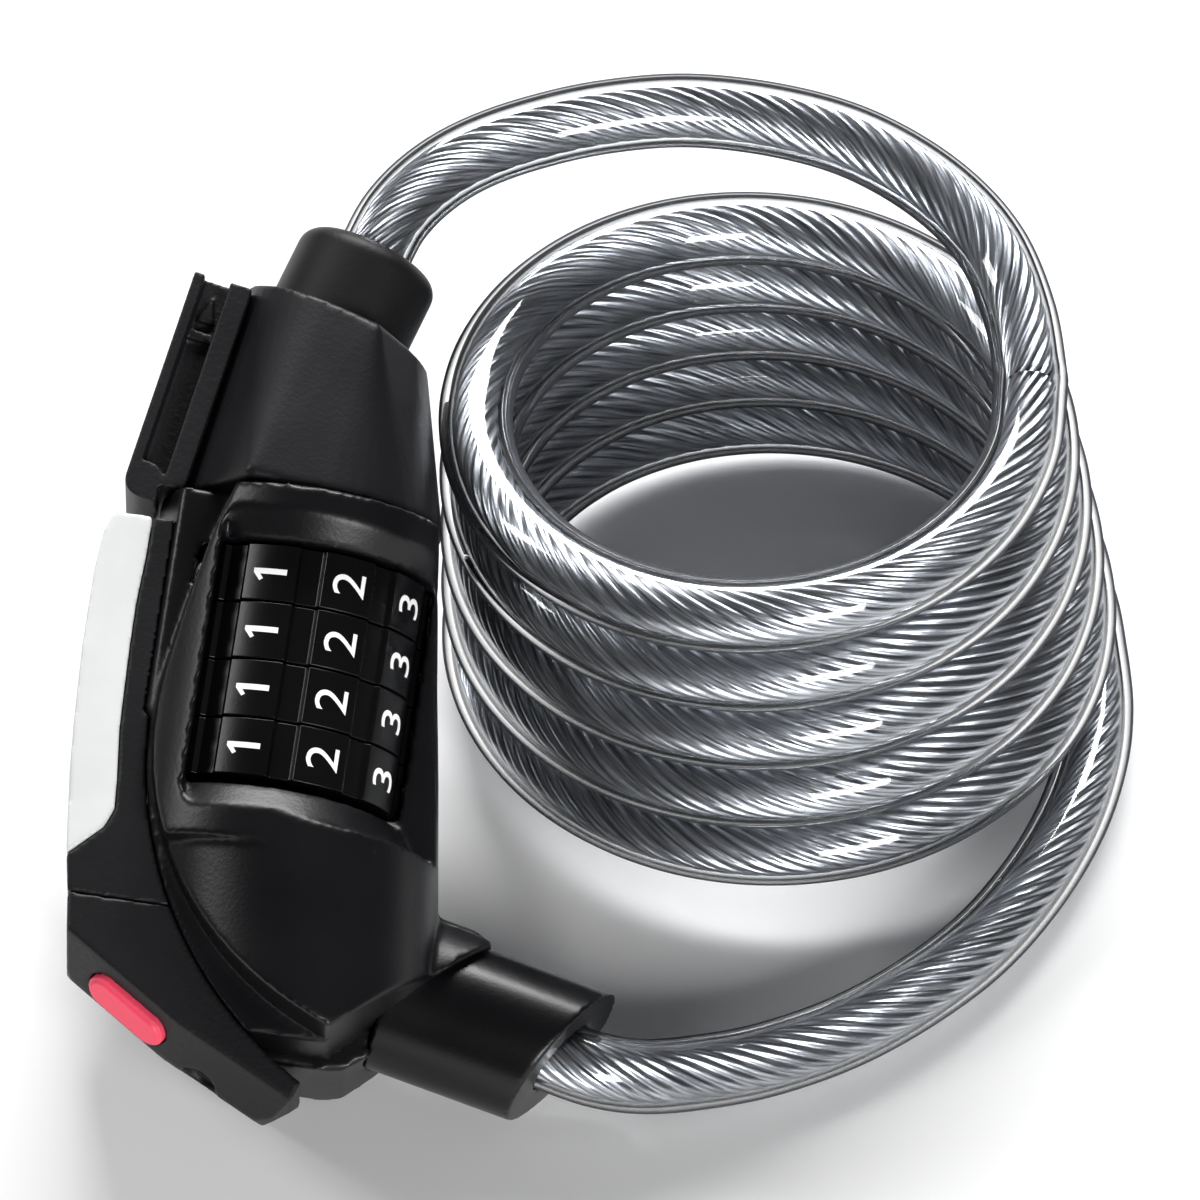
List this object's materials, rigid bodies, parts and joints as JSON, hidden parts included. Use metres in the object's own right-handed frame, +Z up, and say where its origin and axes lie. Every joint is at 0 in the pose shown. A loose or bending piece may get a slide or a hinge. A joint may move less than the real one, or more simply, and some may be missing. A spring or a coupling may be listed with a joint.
{
  "type": "coil cable lock",
  "caption": "Bicycle coil cable combination lock: head with number dials, light module and pull-out plug, on a preformed steel cable in a clear jacket",
  "frame": {"origin": "on the standing surface, below the middle of the lock head's box (the free cable left out)", "axes": "+Z up; +Y points from the lock's cable outlet end towards its plug end, seen from above; +X points from the lock head towards the coil"},
  "size_m": [0.1726, 0.1689, 0.0935],
  "materials": {
    "case_plastic": "satin black injection-moulded plastic",
    "plug_plastic": "satin black injection-moulded plastic",
    "module_plastic": "fine textured black plastic",
    "shoe_plastic": "fine textured black plastic",
    "sleeve_plastic": "smooth black plastic",
    "boot_rubber": "black soft-touch rubber",
    "dial_plastic": "near-black plastic with white painted numerals",
    "lens_plastic": "off-white translucent diffuser",
    "button_plastic": "soft pinkish red plastic",
    "core_metal": "die-cast, plain",
    "ring_brass": "turned",
    "pin_steel": "plated steel",
    "ferrule_metal": "crimped",
    "screw_steel": "zinc plated",
    "board_green": "solder mask",
    "led_clear": "clear epoxy",
    "cell_steel": "nickel plated",
    "cable_jacket": "clear jacket over a bright steel wire rope"
  },
  "bodies": {
    "lock_case": {"front_cover": "case_plastic", "rear_cover": "case_plastic", "lock_core": "core_metal", "dial_washers": "pin_steel", "detent_balls": "pin_steel", "detent_springs": "pin_steel", "case_screws": "screw_steel", "outlet_sleeve": "sleeve_plastic", "ferrule_lower": "ferrule_metal", "ferrule_pin_lower": "pin_steel", "light_housing": "module_plastic", "light_lens": "lens_plastic", "light_board": "board_green", "leds": "led_clear", "battery_cap": "module_plastic", "battery_cells": "cell_steel", "battery_contacts": "ring_brass", "cap_screw": "screw_steel", "switch_dome": "cell_steel", "cable_coil": "cable_jacket", "cable_lower_lead": "cable_jacket"},
    "dial_1_body": {"dial_1": "dial_plastic", "code_ring_1": "ring_brass"},
    "dial_2_body": {"dial_2": "dial_plastic", "code_ring_2": "ring_brass"},
    "dial_3_body": {"dial_3": "dial_plastic", "code_ring_3": "ring_brass"},
    "dial_4_body": {"dial_4": "dial_plastic", "code_ring_4": "ring_brass"},
    "plug": {"plug_head": "plug_plastic", "boot": "boot_rubber", "locking_pin": "pin_steel", "pin_retainer": "pin_steel", "ferrule_upper": "ferrule_metal", "ferrule_pin_upper": "pin_steel", "mount_shoe": "shoe_plastic", "shoe_screws": "screw_steel", "cable_upper_lead": "cable_jacket"},
    "button": {"light_button": "button_plastic"}
  },
  "joints": [
    {"name": "dial_1_turn", "type": "hinge", "parent": "lock_case", "child": "dial_1_body", "pos_m": [-0.0063, 0.01055, 0.05525], "axis": [0.1406, 0.8877, 0.4384], "continuous": true},
    {"name": "dial_2_turn", "type": "hinge", "parent": "lock_case", "child": "dial_2_body", "pos_m": [-0.00763, 0.00212, 0.05108], "axis": [0.1406, 0.8877, 0.4384], "continuous": true},
    {"name": "dial_3_turn", "type": "hinge", "parent": "lock_case", "child": "dial_3_body", "pos_m": [-0.00897, -0.00632, 0.04692], "axis": [0.1406, 0.8877, 0.4384], "continuous": true},
    {"name": "dial_4_turn", "type": "hinge", "parent": "lock_case", "child": "dial_4_body", "pos_m": [-0.0103, -0.01475, 0.04275], "axis": [0.1406, 0.8877, 0.4384], "continuous": true},
    {"name": "plug_pull", "type": "slide", "parent": "lock_case", "child": "plug", "axis": [0.1406, 0.8877, 0.4384], "range_m": [0, 0.05]},
    {"name": "button_press", "type": "slide", "parent": "lock_case", "child": "button", "axis": [0.5769, 0.8119, -0.0894], "range_m": [0, 0.0012], "stiffness_N_per_m": 400, "springref_m": -0.0005}
  ]
}
